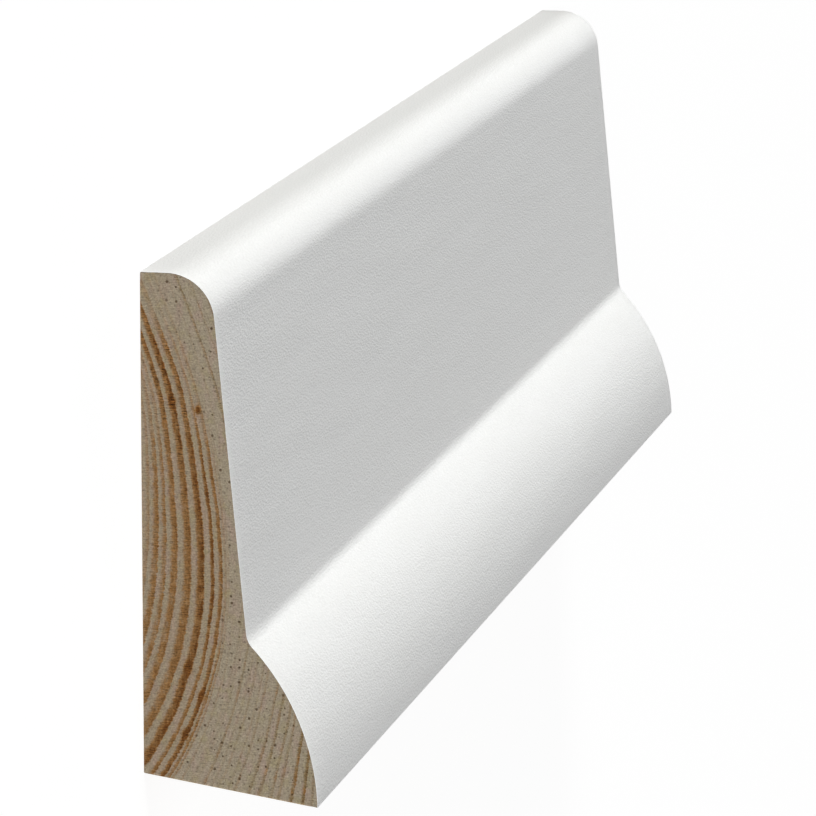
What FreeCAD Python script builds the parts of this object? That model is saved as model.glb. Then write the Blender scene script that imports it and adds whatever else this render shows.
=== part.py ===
import FreeCAD, Part
import math
import os

# Skirting board length
# A short length of solid pine skirting, planed and moulded in one pass through the cutters, so it
# is one solid. It lies on its flat wall face: X runs along the length, Y up the board from the toe
# to the top edge, and Z out from the wall face to the moulded show face. Sizes are in millimetres.
# The origin lies on the wall face, at the middle of the length and of the height.

# Driving dimensions
LENGTH = 240.0  # between the two square sawn ends
HEIGHT = 60.0  # from the toe to the top edge
THICKNESS = 20.0  # from the wall face out to the toe
UNDERCUT = 3.0  # rise of the underside from the toe to the wall face
TOP_FLAT = 3.0  # width of the level strip along the top edge, beside the wall
NOSE_R = 5.5  # round between the top strip and the front face
FACE_LEAN_DEG = 5.54  # how far the front face leans back towards the wall as it rises
CREASE_R = 2.5  # small hollow where the front face runs into the foot
FOOT_R = 27.4  # large round of the foot, down to the toe
FOOT_CENTRE_DROP = 0.75  # how far the centre of that round lies below the toe


# Section
# Worked out in its own plane: the first coordinate is out from the wall, the second is up from the
# toe. The front face is tangent to the nose, and the crease is tangent to the face and to the foot.
def section_corners():
    """Return the section's corner and tangent points and the centres of its three rounds."""
    lean = math.radians(FACE_LEAN_DEG)
    face_out = FreeCAD.Vector(math.cos(lean), math.sin(lean), 0)
    face_down = FreeCAD.Vector(math.sin(lean), -math.cos(lean), 0)

    nose_centre = FreeCAD.Vector(TOP_FLAT, HEIGHT - NOSE_R, 0)
    face_top = nose_centre + face_out * NOSE_R
    foot_reach = math.sqrt(FOOT_R**2 - FOOT_CENTRE_DROP**2)
    foot_centre = FreeCAD.Vector(THICKNESS - foot_reach, -FOOT_CENTRE_DROP, 0)

    # The crease's centre is one crease radius off the face, and one outside the round of the foot.
    beside_face = face_top + face_out * CREASE_R
    centres_apart = FOOT_R + CREASE_R
    from_foot = beside_face - foot_centre
    along = from_foot.dot(face_down)
    run_down = -along - math.sqrt(along**2 - from_foot.dot(from_foot) + centres_apart**2)
    crease_centre = beside_face + face_down * run_down

    return {
        "back_top": FreeCAD.Vector(0, HEIGHT, 0),
        "nose_start": FreeCAD.Vector(TOP_FLAT, HEIGHT, 0),
        "nose_centre": nose_centre,
        "face_top": face_top,
        "face_foot": crease_centre - face_out * CREASE_R,
        "crease_centre": crease_centre,
        "foot_start": foot_centre + (crease_centre - foot_centre) * (FOOT_R / centres_apart),
        "foot_centre": foot_centre,
        "toe": FreeCAD.Vector(THICKNESS, 0, 0),
        "back_foot": FreeCAD.Vector(0, UNDERCUT, 0),
    }


def at_sawn_end(point):
    """Place a point of the section on the end face at the low end of X."""
    return FreeCAD.Vector(-LENGTH / 2, point.y - HEIGHT / 2, point.x)


def straight(start, end):
    return Part.LineSegment(at_sawn_end(start), at_sawn_end(end)).toShape()


def rounded(start, centre, end):
    """Arc about a centre, the short way from start to end, through the point halfway between."""
    radius = (start - centre).Length
    bisector = (start - centre) + (end - centre)
    middle = centre + bisector.normalize() * radius
    return Part.Arc(at_sawn_end(start), at_sawn_end(middle), at_sawn_end(end)).toShape()


def section_face():
    corner = section_corners()
    outline = [
        straight(corner["back_foot"], corner["back_top"]),
        straight(corner["back_top"], corner["nose_start"]),
        rounded(corner["nose_start"], corner["nose_centre"], corner["face_top"]),
        straight(corner["face_top"], corner["face_foot"]),
        rounded(corner["face_foot"], corner["crease_centre"], corner["foot_start"]),
        rounded(corner["foot_start"], corner["foot_centre"], corner["toe"]),
        straight(corner["toe"], corner["back_foot"]),
    ]
    return Part.Face(Part.Wire(outline))


# Board
# The cutters leave the same section all along the board, and both ends are sawn square across it.
def skirting_board():
    return section_face().extrude(FreeCAD.Vector(LENGTH, 0, 0))


os.makedirs("parts", exist_ok=True)
board = skirting_board()
board.exportStep("parts/skirting_board.step")

box = board.BoundBox
print("valid", board.isValid(), "solids", len(board.Solids), "faces", len(board.Faces))
print("size", round(box.XLength, 3), round(box.YLength, 3), round(box.ZLength, 3))
print("section area mm2", round(board.Volume / LENGTH, 2), "volume cm3", round(board.Volume / 1000, 2))
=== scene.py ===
# %% [markdown]
# A short length of pine skirting board, painted white on its show side and sawn square at both
# ends. It lies on its flat wall face. X runs along the length, Y up the board from the toe to the
# top edge, and Z out from the wall face to the moulding.
# The board is one stick of wood, so this lesson makes one closed mesh and gives it three finishes:
# satin paint, sawn end grain, and bare planed wood on the wall face and underside.

# %% Load the frame
import bpy
import math
import numpy as np
from mathutils import Matrix, Vector


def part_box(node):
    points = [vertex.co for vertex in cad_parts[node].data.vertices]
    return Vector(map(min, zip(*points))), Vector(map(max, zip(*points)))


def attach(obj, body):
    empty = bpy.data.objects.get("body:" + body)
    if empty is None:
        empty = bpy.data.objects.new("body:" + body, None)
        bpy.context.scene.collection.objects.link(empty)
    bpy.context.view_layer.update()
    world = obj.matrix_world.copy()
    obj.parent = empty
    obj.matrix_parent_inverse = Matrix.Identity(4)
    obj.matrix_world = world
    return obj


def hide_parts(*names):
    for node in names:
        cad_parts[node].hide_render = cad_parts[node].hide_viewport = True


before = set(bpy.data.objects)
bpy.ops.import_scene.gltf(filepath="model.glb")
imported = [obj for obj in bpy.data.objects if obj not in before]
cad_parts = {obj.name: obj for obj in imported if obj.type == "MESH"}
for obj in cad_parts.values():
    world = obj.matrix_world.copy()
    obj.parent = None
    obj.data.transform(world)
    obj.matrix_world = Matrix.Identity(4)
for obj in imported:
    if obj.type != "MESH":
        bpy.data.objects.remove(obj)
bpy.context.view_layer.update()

low, high = (np.array(corner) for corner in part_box("skirting_board"))
print("board, in metres:", (high - low).round(4))

# %% [markdown]
# The section is what makes a skirting a skirting. A moulding machine runs the board past shaped
# cutters, so every cut across it is the same: a level strip on top, a round nose, a face that leans
# back, a small crease, a large round foot, and an underside that rises towards the wall.
# The outer size comes from the frame. The inner sizes are the cutters' own, so they are written
# here as named values, in metres. The two eases are how far a worn corner and a saw cut's edge are
# rounded.

# %% Sizes of the section
MM = 0.001
HEIGHT, THICKNESS = high[1:] - low[1:]
UNDERCUT = 3.0 * MM
TOP_FLAT = 3.0 * MM
NOSE_R = 5.5 * MM
FACE_LEAN = math.radians(5.54)
CREASE_R = 2.5 * MM
FOOT_R = 27.4 * MM
FOOT_CENTRE_DROP = 0.75 * MM
SECTION_EASE = 0.15 * MM
SAWN_EASE = 0.05 * MM
print("length, height and thickness:", [round(float(size) / MM, 2) for size in high - low], "mm")
print("corners eased by", SECTION_EASE / MM, "mm, sawn ends by", SAWN_EASE / MM, "mm")

# %% [markdown]
# An arc is a centre plus a turning arm, and a straight is a start plus a share of the way. Both
# take a whole array of shares from 0 to 1, so one call gives every point and there is no loop.
# Where a corner will be rounded, the shares crowd together, so that the curve has points to use.
# Points are pairs: out from the wall, and up from the toe.

# %% Straights and arcs
def straight(start, end, shares):
    """Start, plus each share times the way from start to end."""
    return np.array(start) + np.outer(shares, np.subtract(end, start))


def arc(centre, start, end, shares):
    """Centre, plus the radius times the cosine and sine of an angle that goes from start to end."""
    arm = np.subtract(start, centre)
    last = np.subtract(end, centre)
    first_angle = math.atan2(arm[1], arm[0])
    turn = math.atan2(last[1], last[0]) - first_angle
    turn = (turn + math.pi) % (2 * math.pi) - math.pi
    angle = first_angle + turn * np.asarray(shares)
    return np.array(centre) + np.hypot(*arm) * np.column_stack([np.cos(angle), np.sin(angle)])


def crowded(ease, count):
    """Shares from 0 to 1: a few steps within the ease at either end, and an even run between."""
    edge = ease * np.array([0.0, 0.34, 0.67, 1.0, 1.5])
    middle = np.linspace(2.5 * ease, 1 - 2.5 * ease, count)
    return np.concatenate([edge, middle, 1 - edge[::-1]])


print("a crowded run of shares:", crowded(0.1, 3).round(2))

# %% [markdown]
# The front runs up from the toe: foot, crease, face, nose. The crease is a small arc that touches
# both the leaning face and the foot. Its centre stands one crease radius off the face, and a foot
# radius plus a crease radius from the foot's centre, which gives it by one square root. The first
# few points stand close together beside the toe, because that corner is rounded later.

# %% Front of the section
TOE_STEPS, FOOT_STEPS, CREASE_STEPS, FACE_STEPS, NOSE_STEPS = 9, 64, 13, 101, 37
PAST_THE_TOE = 0.03


def front_of_section():
    """Foot arc, crease arc, straight face and nose arc, joined end to end."""
    face_out = np.array([math.cos(FACE_LEAN), math.sin(FACE_LEAN)])
    face_down = np.array([math.sin(FACE_LEAN), -math.cos(FACE_LEAN)])
    nose_centre = np.array([TOP_FLAT, HEIGHT - NOSE_R])
    face_top = nose_centre + NOSE_R * face_out
    foot_reach = math.sqrt(FOOT_R**2 - FOOT_CENTRE_DROP**2)
    foot_centre = np.array([THICKNESS - foot_reach, -FOOT_CENTRE_DROP])

    beside_face = face_top + CREASE_R * face_out
    centres_apart = FOOT_R + CREASE_R
    arm = beside_face - foot_centre
    run_down = -arm @ face_down - math.sqrt((arm @ face_down) ** 2 - arm @ arm + centres_apart**2)
    crease_centre = beside_face + run_down * face_down
    foot_top = foot_centre + (crease_centre - foot_centre) * FOOT_R / centres_apart
    face_foot = crease_centre - CREASE_R * face_out

    beside_toe = np.linspace(0, 3 * SECTION_EASE / FOOT_R, TOE_STEPS)
    foot_shares = np.concatenate([beside_toe, np.linspace(PAST_THE_TOE, 1, FOOT_STEPS)])
    return np.vstack([
        arc(foot_centre, (THICKNESS, 0), foot_top, foot_shares),
        arc(crease_centre, foot_top, face_foot, np.linspace(0, 1, CREASE_STEPS))[1:],
        straight(face_foot, face_top, np.linspace(0, 1, FACE_STEPS))[1:],
        arc(nose_centre, face_top, (TOP_FLAT, HEIGHT), np.linspace(0, 1, NOSE_STEPS))[1:],
    ])


front = front_of_section()
print("front of the section:", len(front), "points, highest at", round(front[:, 1].max() / MM, 3), "mm")

# %% [markdown]
# A sawn end has to be a neat grid too, because the grain pattern and the saw's faint relief sit on
# its vertices. The section has four sides: wall, front, underside and top. With the wall side
# matched to the front point for point, the inside can be filled by a Coons patch: blend the wall
# side into the front, blend the underside into the top, add the two, and take away the blend of the
# four corners, which was counted twice.
# No real corner is knife sharp. Within one ease of a corner, each of its two sides gives way to its
# half of a small curve that starts and ends one ease away from the corner.

# %% Four sides of the section
ACROSS_EASE, ACROSS_STEPS = 0.012, 72


def short_way(corner, point):
    """The point one ease away from a corner, towards another point."""
    return corner + SECTION_EASE * (point - corner) / np.hypot(*(point - corner))


def ease_corner(side, corner, before, after):
    """Within one ease of the corner, this side's half of a quadratic Bezier round it."""
    reach = np.hypot(*(side - corner).T)[:, None]
    share = np.clip(1 - reach / SECTION_EASE, 0, 1) / 2
    bezier = (1 - share) ** 2 * before + 2 * share * (1 - share) * corner + share**2 * after
    return np.where(reach < SECTION_EASE, bezier, side)


toe = front[0]
up_the_foot = short_way(toe, front[TOE_STEPS - 1])
wall_foot = np.array([0.0, UNDERCUT])
wall_top = np.array([0.0, HEIGHT])
across = crowded(ACROSS_EASE, ACROSS_STEPS)

wall = np.column_stack([0 * front[:, 1], UNDERCUT + (HEIGHT - UNDERCUT) * front[:, 1] / HEIGHT])
underside = straight(wall_foot, toe, across)
top = straight(wall_top, front[-1], across)

from_wall = short_way(wall_foot, wall_top)
from_toe = short_way(toe, wall_foot)
along_underside = short_way(wall_foot, toe)
down_the_wall = short_way(wall_top, wall_foot)
along_top = short_way(wall_top, front[-1])

wall = ease_corner(wall, wall_foot, from_wall, along_underside)
wall = ease_corner(wall, wall_top, down_the_wall, along_top)
underside = ease_corner(underside, wall_foot, along_underside, from_wall)
underside = ease_corner(underside, toe, from_toe, up_the_foot)
front = ease_corner(front, toe, up_the_foot, from_toe)
top = ease_corner(top, wall_top, along_top, down_the_wall)
print("sides: wall", len(wall), "front", len(front), "underside", len(underside), "top", len(top))

# %% [markdown]
# The four sides joined in a ring are the outline that runs along the board. Moving each outline
# point inwards along its own normal gives the slightly smaller outline of the sawn face, and the
# step between the two is the fine arris that catches light round a real saw cut.

# %% Outline and sawn face
def unit(vectors):
    """Vectors divided by their lengths."""
    return vectors / np.linalg.norm(vectors, axis=-1, keepdims=True)


def outward_normals(ring):
    """Turn the step from the point before to the point after by a quarter turn."""
    step = np.roll(ring, -1, axis=0) - np.roll(ring, 1, axis=0)
    return unit(np.column_stack([step[:, 1], -step[:, 0]]))


def coons(wall_side, front_side, under_side, top_side, up, over):
    """Wall blended into front, plus underside blended into top, less the blend of the corners."""
    up = up[:, None, None]
    over = over[None, :, None]
    sides = (1 - over) * wall_side[:, None] + over * front_side[:, None]
    ends = (1 - up) * under_side[None] + up * top_side[None]
    low_corners = (1 - over) * wall_side[0] + over * front_side[0]
    high_corners = (1 - over) * wall_side[-1] + over * front_side[-1]
    return sides + ends - (1 - up) * low_corners - up * high_corners


rows, columns = len(front), len(across)
outline = np.vstack([underside[:-1], front[:-1], top[:0:-1], wall[:0:-1]])
inner = outline - SAWN_EASE * outward_normals(outline)
under_count, side_count = columns - 1, rows - 1
inner_underside = inner[: under_count + 1]
inner_front = inner[under_count : under_count + side_count + 1]
inner_top = inner[under_count + side_count : 2 * under_count + side_count + 1][::-1]
inner_wall = np.vstack([inner[2 * under_count + side_count :], inner[:1]])[::-1]

up_shares = inner_wall[:, 1] - inner_wall[0, 1]
up_shares = up_shares / up_shares[-1]
sawn_grid = coons(inner_wall, inner_front, inner_underside, inner_top, up_shares, across)
print("outline of", len(outline), "points, sawn face of", rows, "by", columns)

# %% [markdown]
# Now the board itself. Rings of outline points go along the length, from one sawn face to the
# other, with three short steps round each sawn arris. Joining ring to ring gives the long sides,
# and the two grids close the ends. Every vertex is shared, so the mesh is closed.

# %% Rings along the board
def placed(section_points, x):
    """Section pairs become positions: x along, up the board in Y, out from the wall in Z."""
    flat = section_points.reshape(-1, 2)
    along = np.broadcast_to(x, len(flat))
    return np.column_stack([along, low[1] + flat[:, 1], low[2] + flat[:, 0]])


def arris_ring(turn, end_x, inwards):
    """Drawn in by ease times (1 - cosine of the turn), and set in by ease times (1 - its sine)."""
    shrunk = outline - SAWN_EASE * (1 - math.cos(turn)) * outward_normals(outline)
    return placed(shrunk, end_x + inwards * SAWN_EASE * (1 - math.sin(turn)))


STATIONS = 61
ARRIS_TURNS = [math.radians(30), math.radians(60)]
near_arris = [arris_ring(turn, low[0], 1) for turn in ARRIS_TURNS[::-1]]
far_arris = [arris_ring(turn, high[0], -1) for turn in ARRIS_TURNS]
stations = np.linspace(low[0] + SAWN_EASE, high[0] - SAWN_EASE, STATIONS)
rings = near_arris + [placed(outline, x) for x in stations] + far_arris
print(len(rings), "rings between the two sawn faces")

# %% [markdown]
# Growth rings. Seen on the sawn end, the pith lies behind the wall side, so each ring bellies out
# towards the face in the middle and leans back to the wall above and below. Two smooth ramps lean
# the rings back, and a wide bell curve pushes the belly out. Towards the toe the rings straighten.
# The result is one number per point, the same all along a ring, that grows from pith to bark.
# Along the stick the trunk tapers and wanders a little, so the number drifts with length, and that
# is what draws long arches on the planed wall face. A small ripple grows over the first few
# centimetres, so that the arches aren't too even.
# All these lengths are in millimetres, and each value is named for what it does to the rings.

# %% Growth rings as one field
LOW_LEAN = dict(height=10.0, slope=0.49, softness=7.9, fading=0.066)
HIGH_LEAN = dict(height=46.8, slope=0.35, softness=2.8, fading=0.025)
BELLY = dict(push=6.0, height=24.4, reach=23.0, start=10.9)
TRUNK = dict(drift=1.5, bend=95.0, taper=0.02)
RIPPLE = dict(size=0.25, along=21.0, up=9.0, settles=40.0)


def smooth_ramp(distance, softness):
    """Nothing for negative distances, the distance itself for large ones, and a soft turn between."""
    return softness * np.logaddexp(0, distance / softness)


def ring_number(position):
    """Drifted distance from the wall, plus the lean below and the lean above, less the belly."""
    along = (position[:, 0] - low[0]) / MM
    up = (position[:, 1] - low[1]) / MM
    out = (position[:, 2] - low[2]) / MM
    settled = np.minimum(along / RIPPLE["settles"], 1)
    ripple = RIPPLE["size"] * settled * np.sin(along / RIPPLE["along"] + up / RIPPLE["up"])
    out = out + TRUNK["drift"] * np.sin(along / TRUNK["bend"]) + ripple
    up = up + TRUNK["taper"] * along

    below = LOW_LEAN["slope"] * smooth_ramp(LOW_LEAN["height"] - up, LOW_LEAN["softness"])
    above = HIGH_LEAN["slope"] * smooth_ramp(up - HIGH_LEAN["height"], HIGH_LEAN["softness"])
    bell = np.exp(-(((up - BELLY["height"]) / BELLY["reach"]) ** 2))
    belly = BELLY["push"] * bell * (1 - np.exp(-out / BELLY["start"]))
    below = below * (1 - LOW_LEAN["fading"] * out)
    above = above * (1 - HIGH_LEAN["fading"] * out)
    return out + below + above - belly


wall_foot_and_toe = placed(outline[[0, under_count]], low[0])
print("ring numbers at the wall foot and the toe:", ring_number(wall_foot_and_toe).round(2))

# %% [markdown]
# The dark stripes are latewood, the hard wood that a tree lays down at the end of each summer. They
# are close and dark near the wall, where the tree grew slowly, and thin and faint towards the face.
# Each is written as the ring number of its middle, its width, and three strengths from 0 to 1: near
# the top edge, at mid height, and in the foot, because a stripe is rarely equally dark all along.
# A stripe darkens slowly from the pith side and stops sharply on the bark side, so its shape is four
# stops: clear, two thirds dark, fully dark just before the bark side, and clear again.

# %% Latewood stripes
LATEWOOD = [
    (0.10, 0.25, (0.3, 0.3, 0.3)), (0.60, 0.26, (0.3, 0.36, 0.38)), (1.11, 0.38, (0.32, 0.62, 0.58)),
    (1.65, 0.34, (0.32, 0.56, 0.56)), (2.32, 0.50, (0.85, 0.7, 0.66)), (3.27, 0.62, (1.0, 0.75, 0.68)),
    (4.29, 0.60, (0.8, 0.98, 0.98)), (5.18, 0.32, (0.34, 1.0, 0.66)), (5.86, 0.36, (0.3, 0.7, 0.98)),
    (6.26, 0.24, (0.06, 0.24, 0.55)), (6.52, 0.17, (0.0, 0.15, 0.33)), (7.05, 0.16, (0.12, 0.03, 0.2)),
    (7.68, 0.18, (0.04, 0.14, 0.13)), (7.97, 0.28, (0.4, 0.08, 0.1)), (8.57, 0.22, (0.0, 0.2, 0.34)),
    (9.14, 0.18, (0.26, 0.1, 0.14)), (9.6, 0.18, (0.0, 0.15, 0.22)), (10.25, 0.17, (0.24, 0.14, 0.2)),
    (10.72, 0.2, (0.0, 0.15, 0.26)), (11.72, 0.24, (0.22, 0.22, 0.34)), (12.41, 0.25, (0.22, 0.3, 0.42)),
    (13.21, 0.24, (0.22, 0.22, 0.36)), (13.75, 0.22, (0.2, 0.22, 0.34)), (14.62, 0.28, (0.3, 0.3, 0.64)),
    (15.42, 0.27, (0.3, 0.3, 0.7)), (16.05, 0.22, (0.2, 0.2, 0.3)),
]
STRIPE_SHAPE = [(-0.75, 0.0), (-0.3, 0.68), (0.3, 1.0), (0.52, 0.0)]


def stripe_stops(stripes):
    """Each stop lies its place times the width from the centre, with its share of the strengths."""
    return [
        (centre + place * width, share * np.array(strengths))
        for centre, width, strengths in stripes
        for place, share in STRIPE_SHAPE
    ]


def darkness(ring):
    """The middle strength of the stripe that a ring number falls in."""
    places, darks = zip(*stripe_stops(LATEWOOD))
    return np.interp(ring, places, np.array(darks)[:, 1])


print(len(LATEWOOD), "latewood stripes, ring numbers", LATEWOOD[0][0], "to", LATEWOOD[-1][0])

# %% [markdown]
# A saw leaves the end slightly furry: soft earlywood tears a few hundredths of a millimetre deeper
# than the hard latewood, and each tooth leaves a shallow scratch on a wide arc. That much relief is
# real geometry here, always inwards from the outer size, and it fades out at the arris.

# %% Sawn faces with relief
EARLYWOOD_DEPTH = 0.025 * MM
SAW_MARK_DEPTH = 0.012 * MM
SAW_MARK_PITCH = 0.9 * MM
BLADE_R = 150 * MM
BLADE_ASIDE = 0.3 * BLADE_R
RUN_IN_STEPS = 6


def steps_from_edge(count):
    """0 at both ends of a row of points, and one more at each step inwards."""
    return np.minimum(np.arange(count), count - 1 - np.arange(count))


def sawn_face(x, inwards):
    """The Coons grid, sunk where the wood is soft and along arcs of the blade's radius."""
    face = placed(sawn_grid, x)
    reach = np.hypot(face[:, 1] + BLADE_R, face[:, 2] - BLADE_ASIDE)
    scratch = SAW_MARK_DEPTH * (0.5 + 0.5 * np.cos(2 * math.pi * reach / SAW_MARK_PITCH))
    sink = EARLYWOOD_DEPTH * (1 - darkness(ring_number(face))) + scratch
    run_in = np.minimum.outer(steps_from_edge(rows), steps_from_edge(columns)).ravel() / RUN_IN_STEPS
    face[:, 0] += inwards * sink * np.clip(run_in, 0, 1)
    return face


near_face = sawn_face(low[0], 1)
far_face = sawn_face(high[0], -1)
print("deepest relief", round((near_face[:, 0].max() - low[0]) / MM, 4), "mm")

# %% [markdown]
# Faces are index arrays. A strip between two rings takes a point and its neighbour from each, in
# the order that makes the face look outwards. from_pydata takes the vertices and faces, and
# foreach_set then gives each face its finish: paint on the top, nose, face and foot, end grain on
# the two grids, and planed wood on the rest.

# %% Build the mesh
vertices = np.vstack([near_face, far_face] + rings)
grid_size = rows * columns
near_index = np.arange(grid_size).reshape(rows, columns)
far_index = near_index + grid_size
ring_index = 2 * grid_size + np.arange(len(rings) * len(outline)).reshape(len(rings), -1)


def rim(grid):
    """The grid's border, in the same order as the outline."""
    return np.concatenate([grid[0, :-1], grid[:-1, -1], grid[-1, :0:-1], grid[:0:-1, 0]])


def grid_faces(grid):
    """Each cell's four corners, turned so that the near end looks outwards."""
    corners = [grid[:-1, :-1], grid[:-1, 1:], grid[1:, 1:], grid[1:, :-1]]
    return np.stack(corners, axis=-1).reshape(-1, 4)


loops = np.vstack([rim(near_index), ring_index, rim(far_index)])
following = np.roll(loops, -1, axis=1)
strips = np.stack([loops[:-1], loops[1:], following[1:], following[:-1]], axis=-1)
PAINT, END_GRAIN, PLANED = 0, 1, 2
show_side = np.zeros(len(outline), dtype=bool)
show_side[under_count : 2 * under_count + side_count] = True
strip_finish = np.broadcast_to(np.where(show_side, PAINT, PLANED), strips.shape[:2])

faces = np.vstack([grid_faces(near_index), grid_faces(far_index)[:, ::-1], strips.reshape(-1, 4)])
finish = np.concatenate([np.full(2 * (rows - 1) * (columns - 1), END_GRAIN), strip_finish.ravel()])

mesh = bpy.data.meshes.new("skirting_board_painted")
mesh.from_pydata(vertices.tolist(), [], faces.tolist())
mesh.polygons.foreach_set("use_smooth", np.ones(len(faces), dtype=bool))
mesh.polygons.foreach_set("material_index", finish.astype(np.int32))
board = bpy.data.objects.new("skirting_board_painted", mesh)
bpy.context.scene.collection.objects.link(board)
print(len(vertices), "vertices,", len(faces), "faces, valid:", not mesh.validate())

# %% [markdown]
# Some things are easier to work out here than inside a finish, so three numbers ride on the vertices
# for the finishes to read. They are the ring number, the distance in millimetres from the nearer
# edge of the paint, and how much resin has soaked in. The paint ends at the toe and at the top of
# the wall face, and only the underside lies near enough to the toe for that edge to count. Resin
# sits in a few spots on the near end, each half as long again as it is wide.

# %% Numbers that ride on the vertices
def store(name, values):
    """One number for each vertex, under a name that a finish can ask for."""
    layer = mesh.attributes.new(name, "FLOAT", "POINT")
    layer.data.foreach_set("value", np.ascontiguousarray(values, dtype=np.float32))
    print(name, "from", round(float(values.min()), 2), "to", round(float(values.max()), 2))


up_mm = (vertices[:, 1] - low[1]) / MM
out_mm = (vertices[:, 2] - low[2]) / MM
from_top_mm = HEIGHT / MM - up_mm
from_toe_mm = np.hypot(out_mm - THICKNESS / MM, up_mm)
ABOVE_UNDERSIDE_MM = UNDERCUT / MM + 0.2
from_toe_mm[up_mm > ABOVE_UNDERSIDE_MM] = HEIGHT / MM
store("ring", ring_number(vertices))
store("bare_mm", np.minimum(from_toe_mm, from_top_mm))

RESIN_SPOTS = [
    (44.7, 6.5, 0.3), (45.5, 3.6, 0.36), (15.4, 5.2, 0.4), (12.1, 6.7, 0.34), (7.6, 4.8, 0.38),
]
SPOT_STRETCH = 1.5
NEAR_END_MM = 0.5
near_end = (vertices[:, 0] - low[0]) / MM < NEAR_END_MM
resin = np.zeros(len(vertices))
for up, out, reach in RESIN_SPOTS:
    apart = np.hypot((up_mm - up) / SPOT_STRETCH, out_mm - out) / reach
    resin = np.maximum(resin, near_end * np.exp(-(apart**2)))
store("resin", resin)

# %% [markdown]
# Finishes are node trees. One short helper adds a node, sets its options, and fills its inputs with
# plain values or with links from other nodes, and the rest are made from it. Colours are written as
# 0 to 255, as on a paint card, and turned into the linear numbers that the shader needs. Patterns
# are laid out in millimetres on the object itself, so they sit still on the wood.

# %% Helpers for finishes
def card(red, green, blue):
    """Colour card value to linear: a straight toe, then a 2.4 power."""
    value = np.array([red, green, blue]) / 255
    linear = np.where(value <= 0.04045, value / 12.92, ((value + 0.055) / 1.055) ** 2.4)
    return (*linear.tolist(), 1.0)


def add(tree, kind, inputs=None, **options):
    """Add a node, set its options, then link or set each named or numbered input."""
    node = tree.nodes.new(kind)
    for name, value in options.items():
        setattr(node, name, value)
    for key, value in (inputs or {}).items():
        if isinstance(value, bpy.types.NodeSocket):
            tree.links.new(value, node.inputs[key])
        else:
            node.inputs[key].default_value = value
    return node


def maths(tree, operation, *values):
    """One step of arithmetic on numbers or sockets."""
    return add(tree, "ShaderNodeMath", dict(enumerate(values)), operation=operation).outputs[0]


def plus(tree, first, second):
    """The sum of two numbers or sockets."""
    return maths(tree, "ADD", first, second)


def times(tree, first, second):
    """The product of two numbers or sockets."""
    return maths(tree, "MULTIPLY", first, second)


def rest_of(tree, share):
    """1 less a share."""
    return maths(tree, "SUBTRACT", 1.0, share)


def blend(tree, share, first, second):
    """Colour mix: first where the share is 0, second where it is 1."""
    inputs = {0: share, 6: first, 7: second}
    return add(tree, "ShaderNodeMix", inputs, data_type="RGBA").outputs[2]


def fade(tree, value, start, end):
    """Smooth step from 0 at the start to 1 at the end."""
    inputs = {"Value": value, "From Min": start, "From Max": end}
    return add(tree, "ShaderNodeMapRange", inputs, interpolation_type="SMOOTHSTEP").outputs[0]


def grain_space(tree, along, up, out):
    """Object position with each axis in millimetres divided by the size a pattern has on it."""
    place = add(tree, "ShaderNodeTexCoord").outputs["Object"]
    scale = (1 / (along * MM), 1 / (up * MM), 1 / (out * MM))
    return add(tree, "ShaderNodeMapping", {"Vector": place, "Scale": scale}).outputs[0]


def stored(tree, name):
    """A number that rides on the vertices."""
    return add(tree, "ShaderNodeAttribute", attribute_name=name).outputs["Fac"]


def height_above_toe(tree):
    """Object Y less the toe's Y, in millimetres."""
    place = add(tree, "ShaderNodeTexCoord").outputs["Object"]
    y = add(tree, "ShaderNodeSeparateXYZ", {0: place}).outputs["Y"]
    return maths(tree, "DIVIDE", maths(tree, "SUBTRACT", y, float(low[1])), MM)


def noise(tree, space, detail=2.0, roughness=0.5):
    """Soft clouds about one unit of the space across, near 0.5 on average."""
    inputs = {"Vector": space, "Scale": 1.0, "Detail": detail, "Roughness": roughness}
    return add(tree, "ShaderNodeTexNoise", inputs).outputs["Fac"]


def about_zero(tree, value, size):
    """A noise that runs from 0 to 1, moved to lie evenly about 0 and scaled."""
    return times(tree, maths(tree, "SUBTRACT", value, 0.5), size)


def darken(tree, colour, amounts):
    """Multiply a colour by 1 plus the sum of some small amounts."""
    total = 1.0
    for amount in amounts:
        total = plus(tree, total, amount)
    return add(tree, "ShaderNodeVectorMath", {0: colour, "Scale": total}, operation="SCALE").outputs[0]


def new_finish(name, **settings):
    """An empty material with its output and main shader, and the shader's plain values set."""
    material = bpy.data.materials.new(name)
    material.use_nodes = True
    tree = material.node_tree
    tree.nodes.clear()
    shader = add(tree, "ShaderNodeBsdfPrincipled", settings)
    add(tree, "ShaderNodeOutputMaterial", {"Surface": shader.outputs[0]})
    return material, tree, shader


print("a card grey of 128 is", round(card(128, 128, 128)[0], 3), "as a linear number")

# %% [markdown]
# Satin white paint, sprayed in the factory while the board runs past. What the eye reads is not
# colour but how evenly it turns from light to shade, with a broad soft sheen and a very fine stipple
# of droplets, drawn out along the board. The stipple is bump a few hundredths of a millimetre high.
# The same noise also paints shade into the colour. The tops of the droplets are painted a little
# paler and the gaps a little darker, as light and shade on the relief would show them, so that the
# stipple still shows from afar. A slower wave keeps the long face from looking like plastic. It moves
# the height gently and turns the white a shade greyer here and there.

# %% Satin white paint
PAINT_WHITE = card(246, 246, 246)
PAINT_SHADE = card(243, 243, 242)
PAINT_ROUGHNESS = 0.5
DROPLET, DROPLET_RUN = 0.24, 0.65
WAVE, WAVE_RUN = 5.0, 30.0
STIPPLE_DEPTH = 0.061 * MM
# How much painted shade the stipple puts into the colour: paler droplet tops, darker gaps.
STIPPLE_PAINTED_SHADE = 0.13
SATIN = {"Roughness": PAINT_ROUGHNESS, "IOR": 1.45, "Specular IOR Level": 0.5}

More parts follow.
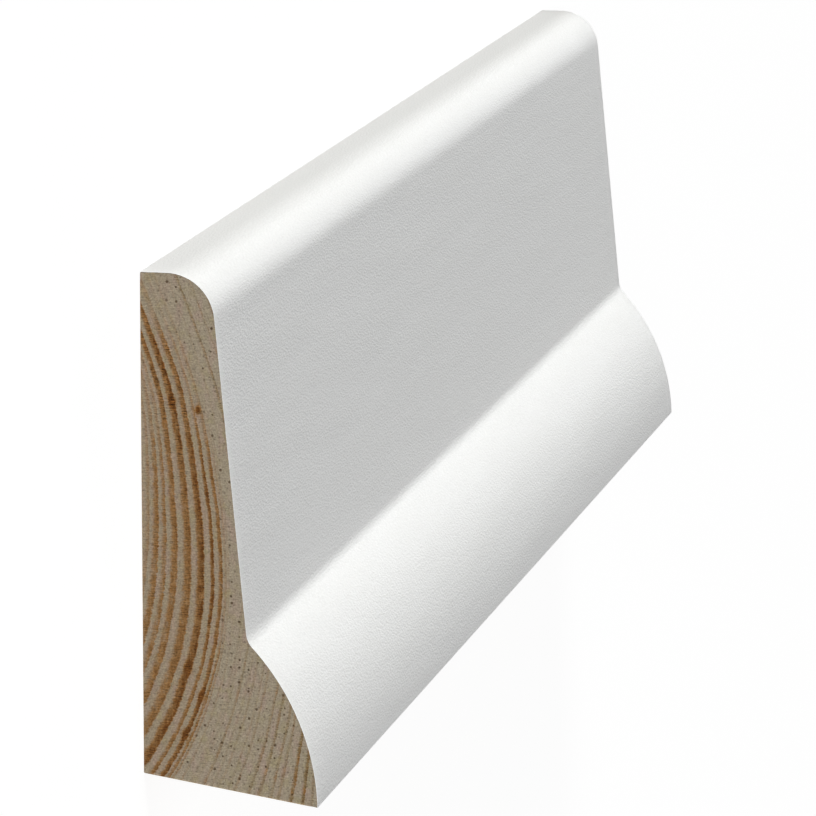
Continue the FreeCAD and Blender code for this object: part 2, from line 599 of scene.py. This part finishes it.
paint, tree, shader = new_finish("satin_white_paint", **SATIN)
stipple = noise(tree, grain_space(tree, DROPLET_RUN, DROPLET, DROPLET), detail=1.0)
slow = noise(tree, grain_space(tree, WAVE_RUN, WAVE, WAVE), detail=2.0)
height = plus(tree, stipple, times(tree, slow, 2.0))
bump = add(tree, "ShaderNodeBump", {"Strength": 1.0, "Distance": STIPPLE_DEPTH, "Height": height})
white = blend(tree, slow, PAINT_WHITE, PAINT_SHADE)
# Painted shade: the stipple noise pales the droplet tops and darkens the gaps in the colour, in place of
# light on the relief.
colour = darken(tree, white, [about_zero(tree, stipple, STIPPLE_PAINTED_SHADE)])
tree.links.new(colour, shader.inputs["Base Color"])
tree.links.new(bump.outputs[0], shader.inputs["Normal"])
print("paint:", len(tree.nodes), "nodes")

# %% [markdown]
# Pine shows the same stripes on its end and on its long sides, because both cut the same rings. The
# ring number on the vertices goes through colour ramps made from the stripe list. A ramp holds at
# most 32 stops, so the list is split into short groups. The ramp's red, green and blue carry a
# stripe's strength near the top, at mid height and in the foot, and a dot product with three
# weights that follow the height picks the right one. Each finish first adds a little noise to the
# ring number, which makes its stripes waver and fray as cells do.

# %% Latewood from the ring number
STRIPES_IN_A_RAMP = 7
TOP_BEGINS, TOP_FULL = 36.0, 47.0
FOOT_FULL, FOOT_ENDS = 12.0, 23.0
CLEAR_MARGIN = 0.1


def height_weights(tree):
    """Three shares that add up to 1 at every height: top in X, middle in Y, foot in Z."""
    up = height_above_toe(tree)
    top = fade(tree, up, TOP_BEGINS, TOP_FULL)
    above_foot = fade(tree, up, FOOT_FULL, FOOT_ENDS)
    foot = rest_of(tree, above_foot)
    middle = maths(tree, "SUBTRACT", above_foot, top)
    return add(tree, "ShaderNodeCombineXYZ", {0: top, 1: middle, 2: foot}).outputs[0]


def latewood(tree, ring):
    """The strongest of the ramps' answers at a ring number: 0 in earlywood, up to 1 in latewood."""
    weights = height_weights(tree)
    total = 0.0
    for start in range(0, len(LATEWOOD), STRIPES_IN_A_RAMP):
        stops = stripe_stops(LATEWOOD[start : start + STRIPES_IN_A_RAMP])
        first, last = stops[0][0] - CLEAR_MARGIN, stops[-1][0] + CLEAR_MARGIN
        span = {"Value": ring, "From Min": first, "From Max": last}
        share = add(tree, "ShaderNodeMapRange", span).outputs[0]
        ramp = add(tree, "ShaderNodeValToRGB", {0: share})
        for end in ramp.color_ramp.elements:
            end.color = (0, 0, 0, 1)
        for place, dark in stops:
            element = ramp.color_ramp.elements.new((place - first) / (last - first))
            element.color = (*dark.tolist(), 1)
        inputs = {0: ramp.outputs[0], 1: weights}
        dark = add(tree, "ShaderNodeVectorMath", inputs, operation="DOT_PRODUCT").outputs["Value"]
        total = maths(tree, "MAXIMUM", total, dark)
    return total


# %% [markdown]
# Sawn end grain. The saw crushes the cells, so it looks greyer and darker than the long sides. First
# the ring number gets a slow waver and a fine fray, and gives the stripes, which patches of noise
# make darker and paler along their run. Where growth was slow, a faint haze darkens the wood between
# them. In the corner between the wall face and the top edge the stripes fade, the outermost of the
# dark ones most. The resin spots are added last, because they darken whatever they sit on.

# %% Sawn end grain: stripes
WAVER, FRAY, PATCHINESS = 0.22, 0.3, 1.9
SLOW_UNTIL, QUICK_FROM = 5.6, 7.0
SLOW_HAZE = 0.08
CORNER_BEGINS, CORNER_FULL = 50.0, 57.0
OUTER_BEGINS, OUTER_FULL = 3.6, 4.1
CORNER_FADE, OUTER_FADE = 0.42, 0.3
RESIN_STRENGTH = 1.2

end_grain, tree, shader = new_finish("sawn_end_grain", **{"Roughness": 0.8, "Specular IOR Level": 0.1})
wavering = noise(tree, grain_space(tree, 60.0, 5.0, 2.5))
fraying = noise(tree, grain_space(tree, 30.0, 0.35, 0.5), detail=2.0, roughness=0.7)
ring = plus(tree, stored(tree, "ring"), about_zero(tree, wavering, WAVER))
ring = plus(tree, ring, about_zero(tree, fraying, FRAY))
patches = noise(tree, grain_space(tree, 60.0, 1.5, 0.6), detail=3.0, roughness=0.7)
strength = plus(tree, 1.0, about_zero(tree, patches, PATCHINESS))
slow_grown = rest_of(tree, fade(tree, ring, SLOW_UNTIL, QUICK_FROM))
late = maths(tree, "MAXIMUM", latewood(tree, ring), times(tree, slow_grown, SLOW_HAZE))
late = times(tree, late, strength)

near_top = fade(tree, height_above_toe(tree), CORNER_BEGINS, CORNER_FULL)
fading = plus(tree, CORNER_FADE, times(tree, fade(tree, ring, OUTER_BEGINS, OUTER_FULL), OUTER_FADE))
fading = times(tree, fading, times(tree, slow_grown, near_top))
late = times(tree, late, rest_of(tree, fading))
soaked = times(tree, strength, RESIN_STRENGTH)
late = plus(tree, late, times(tree, stored(tree, "resin"), soaked))
print("end grain stripes:", len(tree.nodes), "nodes")

# %% [markdown]
# Thin latewood lets light through and looks orange, and dense latewood is dark brown, so the colour
# goes through orange on its way. Out near the face the thin stripes are duller, nearly olive. The
# wood between isn't one colour either: it drifts between grey, rose and straw.

# %% Sawn end grain: colours
EARLY_GREY = card(161, 149, 129)
EARLY_ROSE = card(165, 147, 131)
EARLY_STRAW = card(160, 148, 120)
LATE_ORANGE = card(142, 106, 66)
LATE_OLIVE = card(132, 112, 80)
LATE_BROWN = card(105, 66, 30)
HALF_DARK = 0.55
DULL_BEGINS, DULL_FULL = 6.3, 7.6

warm = noise(tree, grain_space(tree, 60.0, 3.0, 1.1), detail=2.0)
cool = noise(tree, grain_space(tree, 60.0, 1.6, 1.3), detail=2.0)
early = blend(tree, fade(tree, warm, 0.42, 0.7), EARLY_GREY, EARLY_ROSE)
early = blend(tree, fade(tree, cool, 0.48, 0.75), early, EARLY_STRAW)
dull = times(tree, fade(tree, ring, DULL_BEGINS, DULL_FULL), fade(tree, cool, 0.3, 0.55))
half = blend(tree, dull, LATE_ORANGE, LATE_OLIVE)
colour = blend(tree, maths(tree, "DIVIDE", late, HALF_DARK), early, half)
past_half = maths(tree, "DIVIDE", maths(tree, "SUBTRACT", late, HALF_DARK), 1 - HALF_DARK)
colour = blend(tree, past_half, colour, LATE_BROWN)
print("end grain stripes and colours:", len(tree.nodes), "nodes")

# %% [markdown]
# Cut resin canals are dark dots a quarter of a millimetre across, and smaller, fainter specks lie
# between them. A Voronoi texture scatters one point in each of its cells, and its random colour
# decides which points become dots and how large. The section is flat, so the cells are
# two-dimensional: in three dimensions most points would lie in front of the cut or behind it and
# never show.

# %% Dots on the section
CANAL = dict(spacing=1.0, radius=0.14, chance=0.24, shift=0.0)
SPECK = dict(spacing=0.55, radius=0.11, chance=0.4, shift=40.0)
SMALLEST_DOT, DOT_SPREAD = 0.6, 0.7
SOLID_TO, CLEAR_FROM = 0.5, 1.3


def dots(tree, spacing, radius, chance, shift):
    """1 less a smooth step of the distance from a point over its dot's radius, kept by chance."""
    place = add(tree, "ShaderNodeTexCoord").outputs["Object"]
    axes = add(tree, "ShaderNodeSeparateXYZ", {0: place})
    flat = add(tree, "ShaderNodeCombineXYZ", {
        0: plus(tree, maths(tree, "DIVIDE", axes.outputs["Z"], spacing * MM), shift),
        1: maths(tree, "DIVIDE", axes.outputs["Y"], spacing * MM),
    }).outputs[0]
    points = add(tree, "ShaderNodeTexVoronoi", {"Vector": flat, "Scale": 1.0}, voronoi_dimensions="2D")
    draws = add(tree, "ShaderNodeSeparateColor", {0: points.outputs["Color"]})
    size = plus(tree, SMALLEST_DOT, times(tree, draws.outputs[1], DOT_SPREAD))
    apart = times(tree, points.outputs["Distance"], spacing / radius)
    apart = maths(tree, "DIVIDE", apart, size)
    solid = rest_of(tree, fade(tree, apart, SOLID_TO, CLEAR_FROM))
    return times(tree, solid, maths(tree, "LESS_THAN", draws.outputs[0], chance))


print("canals lie about", CANAL["spacing"], "mm apart, specks", SPECK["spacing"], "mm")

# %% [markdown]
# Over the stripes lie the small things. Cut cells make a mottle of light and dark a fifth of a
# millimetre across. Fine lines follow each ring. Rays, short and thin, run out from the pith across
# the rings and show as ticks in the latewood, most of all near the top edge. Canals and specks show
# mostly in the pale wood out near the face. The same patterns also give the cut its fine bump.

# %% Sawn end grain: cells, rays and canals
CANAL_BROWN = card(78, 60, 42)
CANAL_STRENGTH, SPECK_STRENGTH = 0.85, 0.36
PALE_BEGINS, PALE_FULL = 5.2, 6.8
FEWEST_DOTS = 0.25
LINES_IN_A_RING, LINE_RUN, LINE_LENGTH = 7.0, 1.1, 40.0
CELL_SHADE, LINE_SHADE, RAY_SHADE = 1.0, 0.45, 0.75
TICKS, MORE_TICKS_NEAR_TOP = 3.2, 2.6
CUT_DEPTH = 0.03 * MM

place = add(tree, "ShaderNodeTexCoord").outputs["Object"]
axes = add(tree, "ShaderNodeSeparateXYZ", {0: place})
along_ring = add(tree, "ShaderNodeCombineXYZ", {
    0: times(tree, ring, LINES_IN_A_RING),
    1: maths(tree, "DIVIDE", axes.outputs["Y"], LINE_RUN * MM),
    2: maths(tree, "DIVIDE", axes.outputs["X"], LINE_LENGTH * MM),
}).outputs[0]
ring_lines = noise(tree, along_ring, detail=2.0, roughness=0.6)
rays = noise(tree, grain_space(tree, 40.0, 0.14, 0.8), detail=2.0, roughness=0.65)
cells = noise(tree, grain_space(tree, 20.0, 0.21, 0.21), detail=1.0, roughness=0.6)

pale_wood = times(tree, fade(tree, ring, PALE_BEGINS, PALE_FULL), 1 - FEWEST_DOTS)
pale_wood = plus(tree, pale_wood, FEWEST_DOTS)
canals = times(tree, dots(tree, **CANAL), CANAL_STRENGTH)
specks = times(tree, dots(tree, **SPECK), SPECK_STRENGTH)
dark_dots = times(tree, maths(tree, "MAXIMUM", canals, specks), pale_wood)
colour = blend(tree, dark_dots, colour, CANAL_BROWN)

towards_top = fade(tree, height_above_toe(tree), TOP_BEGINS, TOP_FULL)
ticks = plus(tree, TICKS, times(tree, towards_top, MORE_TICKS_NEAR_TOP))
more_in_late = plus(tree, 1.0, times(tree, late, ticks))
ray_shade = times(tree, about_zero(tree, rays, RAY_SHADE), more_in_late)
shades = [about_zero(tree, cells, CELL_SHADE), about_zero(tree, ring_lines, LINE_SHADE), ray_shade]
tree.links.new(darken(tree, colour, shades), shader.inputs["Base Color"])
height = plus(tree, times(tree, cells, 0.6), times(tree, rays, 0.8))
height = maths(tree, "SUBTRACT", height, times(tree, dark_dots, 1.2))
bump = add(tree, "ShaderNodeBump", {"Strength": 0.6, "Distance": CUT_DEPTH, "Height": height})
tree.links.new(bump.outputs[0], shader.inputs["Normal"])
print("end grain:", len(tree.nodes), "nodes")

# %% [markdown]
# Planed wood on the wall face and underside. The same rings, cut lengthwise, draw long lines and
# arches. Fibres fray them, and resin canals become fine dark streaks.

# %% Bare planed pine
PLANED_PALE = card(214, 190, 152)
PLANED_WARM = card(204, 174, 130)
PLANED_LATE = card(172, 122, 72)
PLANED_STREAK = card(140, 98, 58)
FIBRE_FRAY, BROAD_WANDER = 0.2, 0.3
STREAK_STRENGTH, FIBRE_SHADE = 0.45, 0.5

planed, tree, shader = new_finish("planed_pine", **{"Specular IOR Level": 0.35})
fibres = noise(tree, grain_space(tree, 9.0, 0.14, 0.14), detail=3.0, roughness=0.65)
broad = noise(tree, grain_space(tree, 70.0, 6.0, 6.0), detail=2.0)
ring = plus(tree, stored(tree, "ring"), about_zero(tree, fibres, FIBRE_FRAY))
ring = plus(tree, ring, about_zero(tree, broad, BROAD_WANDER))
late = latewood(tree, ring)
colour = blend(tree, fade(tree, broad, 0.35, 0.65), PLANED_PALE, PLANED_WARM)
colour = blend(tree, late, colour, PLANED_LATE)
streak_space = grain_space(tree, 22.0, 0.9, 0.9)
streaks = add(tree, "ShaderNodeTexVoronoi", {"Vector": streak_space, "Scale": 1.0})
streak = rest_of(tree, fade(tree, streaks.outputs["Distance"], 0.05, 0.16))
colour = blend(tree, times(tree, streak, STREAK_STRENGTH), colour, PLANED_STREAK)
colour = darken(tree, colour, [about_zero(tree, fibres, FIBRE_SHADE)])
print("planed pine, bare:", len(tree.nodes), "nodes")

# %% [markdown]
# Sprayed paint creeps a millimetre or so round the toe and the top corner. The distance from the
# paint's edge rides on the vertices, and noise makes the line where the paint gives out ragged. The
# planer's knives leave faint ripples across the board, and fibres and latewood stand a little proud.
# The wave texture repeats about three times in one unit of its space, so the unit is pi times the
# pitch of the ripples.

# %% Paint round the corners, and the planer's ripples
PAINT_REACH, HELD_BACK, FEATHER = 3.2, 0.7, 0.35
BARE_ROUGHNESS = 0.62
KNIFE_PITCH = 1.4
PLANED_DEPTH = 0.02 * MM

ragged = noise(tree, grain_space(tree, 3.0, 1.2, 1.2), detail=4.0, roughness=0.6)
reach = maths(tree, "SUBTRACT", times(tree, ragged, PAINT_REACH), HELD_BACK)
bare = fade(tree, maths(tree, "SUBTRACT", stored(tree, "bare_mm"), reach), 0.0, FEATHER)
tree.links.new(blend(tree, bare, PAINT_WHITE, colour), shader.inputs["Base Color"])
roughness = plus(tree, PAINT_ROUGHNESS, times(tree, bare, BARE_ROUGHNESS - PAINT_ROUGHNESS))
tree.links.new(roughness, shader.inputs["Roughness"])

knife_space = grain_space(tree, KNIFE_PITCH * math.pi, 400.0, 400.0)
knife_marks = {"Vector": knife_space, "Scale": 1.0, "Distortion": 0.4}
ripples = add(tree, "ShaderNodeTexWave", knife_marks)
height = plus(tree, times(tree, ripples.outputs["Fac"], 0.5), fibres)
height = plus(tree, height, times(tree, late, 0.8))
bump = add(tree, "ShaderNodeBump", {"Strength": 0.5, "Distance": PLANED_DEPTH, "Height": height})
tree.links.new(bump.outputs[0], shader.inputs["Normal"])
print("planed pine:", len(tree.nodes), "nodes")

# %% [markdown]
# The mesh takes its finishes in the order of the numbers that its faces were given. Then the frame's
# own board is hidden, since this mesh stands in for it, and the mesh is hung from the body that
# carries it.

# %% Give the board its finishes
for material in (paint, end_grain, planed):
    mesh.materials.append(material)
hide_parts("skirting_board")
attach(board, "root")
print("finishes:", [material.name for material in mesh.materials])

# %% [markdown]
# The board lies on a pale studio floor. The camera sees that floor as a white glow of its own plus a
# thin layer of ordinary grey card. Where light falls freely the two add up to about white, and in the
# board's shadow the card goes dark and leaves a soft grey. To every other ray the floor is a plain
# grey sheet, so it throws no more light on the board than a real floor would.

# %% Floor
FLOOR_HALF = 6.0
floor_mesh = bpy.data.meshes.new("studio_floor")
corners = FLOOR_HALF * np.array([[-1, -1, 0], [1, -1, 0], [1, 1, 0], [-1, 1, 0]])
floor_mesh.from_pydata(corners.tolist(), [], [[0, 1, 2, 3]])
floor = bpy.data.objects.new("studio_floor", floor_mesh)
bpy.context.scene.collection.objects.link(floor)

FLOOR_GREY = card(140, 140, 140)
FLOOR_SEEN = card(128, 128, 128)
FLOOR_GLOW = 0.91
floor_paint = bpy.data.materials.new("studio_floor_white")
floor_paint.use_nodes = True
tree = floor_paint.node_tree
tree.nodes.clear()
rays_kind = add(tree, "ShaderNodeLightPath")
sheet = add(tree, "ShaderNodeBsdfDiffuse", {"Color": FLOOR_GREY})
seen_sheet = add(tree, "ShaderNodeBsdfDiffuse", {"Color": FLOOR_SEEN})
white = add(tree, "ShaderNodeEmission", {"Color": (1, 1, 1, 1), "Strength": FLOOR_GLOW})
seen = add(tree, "ShaderNodeAddShader", {0: seen_sheet.outputs[0], 1: white.outputs[0]})
whole = add(tree, "ShaderNodeMixShader",
            {0: rays_kind.outputs["Is Camera Ray"], 1: sheet.outputs[0], 2: seen.outputs[0]})
add(tree, "ShaderNodeOutputMaterial", {"Surface": whole.outputs[0]})
floor_mesh.materials.append(floor_paint)

# %% [markdown]
# Light. The moulding is read by one large soft lamp beyond its top edge, low over the floor: the nose
# and the foot turn towards it and go bright, and the leaning face turns away and goes grey. A weaker
# one straight above fills the face. A third stands beside the camera and lights the sawn end. Two
# small ones past the far end lay the satin sheen. The lower one's sheen falls on the upper half of
# the nose, and the higher one's on the foot and the nose's front. The sheen is what makes both curves
# brighter than their neighbours by more than plain matt shading can. A small lamp past the toe keeps
# the underside and the far end from going dead. A lamp's level is the brightness that a white card
# facing it would show, so levels can be read off and added up. The large lamp is a shade warmer than
# the ones above and far off, so the bright curves look a touch cream beside the cool grey face.

# %% Lamps and sky
WARM, PLAIN, COOL = (1.0, 0.998, 0.965), (1.0, 1.0, 1.0), (0.975, 1.0, 1.01)


def soft_lamp(name, towards, distance, size, level, tint):
    """A square lamp that faces the board: level times pi squared times distance squared, in watts."""
    lamp = bpy.data.lights.new(name, "AREA")
    lamp.shape = "SQUARE"
    lamp.size = size
    lamp.energy = level * math.pi**2 * distance**2
    lamp.color = tint
    holder = bpy.data.objects.new(name, lamp)
    holder.location = Vector(towards).normalized() * distance
    holder.rotation_euler = (-holder.location).to_track_quat("-Z", "Y").to_euler()
    bpy.context.scene.collection.objects.link(holder)
    return holder


LAMPS = [
    ("beyond_the_top_edge", (-0.35, 0.922, 0.163), 4.0, 1.2, 0.785, WARM),
    ("straight_above", (0.0, 0.1, 1.0), 3.0, 1.2, 0.136, COOL),
    ("beside_the_camera", (-0.97, 0.15, 0.17), 2.0, 0.6, 0.435, PLAIN),
    ("past_the_far_end_high", (0.96, 0.115, 0.255), 3.0, 0.6, 0.056, COOL),
    ("past_the_far_end_low", (0.95, 0.3, 0.1), 3.0, 0.45, 0.048, COOL),
    ("past_the_toe", (0.45, -0.88, 0.065), 2.0, 0.25, 0.35, PLAIN),
]
for lamp_values in LAMPS:
    soft_lamp(*lamp_values)
print("lamps:", [(name, level) for name, *rest, level, tint in LAMPS])

SKY_LEVEL = 0.06
world = bpy.data.worlds.new("studio")
bpy.context.scene.world = world
world.use_nodes = True
tree = world.node_tree
tree.nodes.clear()
kind = add(tree, "ShaderNodeLightPath")
shown = maths(tree, "MAXIMUM", kind.outputs["Is Camera Ray"], kind.outputs["Is Transmission Ray"])
shown = maths(tree, "MAXIMUM", shown, kind.outputs["Is Glossy Ray"])
sky = add(tree, "ShaderNodeBackground", {"Color": (1, 1, 1, 1), "Strength": SKY_LEVEL})
plain = add(tree, "ShaderNodeBackground", {"Color": (1, 1, 1, 1), "Strength": 1.0})
both = add(tree, "ShaderNodeMixShader", {0: shown, 1: sky.outputs[0], 2: plain.outputs[0]})
add(tree, "ShaderNodeOutputWorld", {"Surface": both.outputs[0]})

# %% [markdown]
# The camera looks down on the lying board from beyond its near end, with the board's height upright
# in the picture, so the section shows almost square on and the length runs away to the upper right.
# A long lens from about 0.8 m away makes the far end three quarters as tall as the near one.

# %% Camera
EYE = Vector((-0.7627, 0.1409, 0.1656))
AIM = Vector((0.0, -0.0075, 0.0050))
LENS_MM = 268.6
SENSOR_MM = 36.0

look = (AIM - EYE).normalized()
right = look.cross(Vector((0, 1, 0))).normalized()
upright = right.cross(look)
camera_data = bpy.data.cameras.new("camera")
camera_data.lens = LENS_MM
camera_data.sensor_width = SENSOR_MM
camera = bpy.data.objects.new("camera", camera_data)
turned = Matrix((right, upright, -look)).transposed()
camera.matrix_world = Matrix.Translation(EYE) @ turned.to_4x4()
bpy.context.scene.collection.objects.link(camera)
bpy.context.scene.camera = camera
bpy.context.scene.view_settings.view_transform = "Standard"
print("camera", round((AIM - EYE).length, 3), "m from the board's middle")
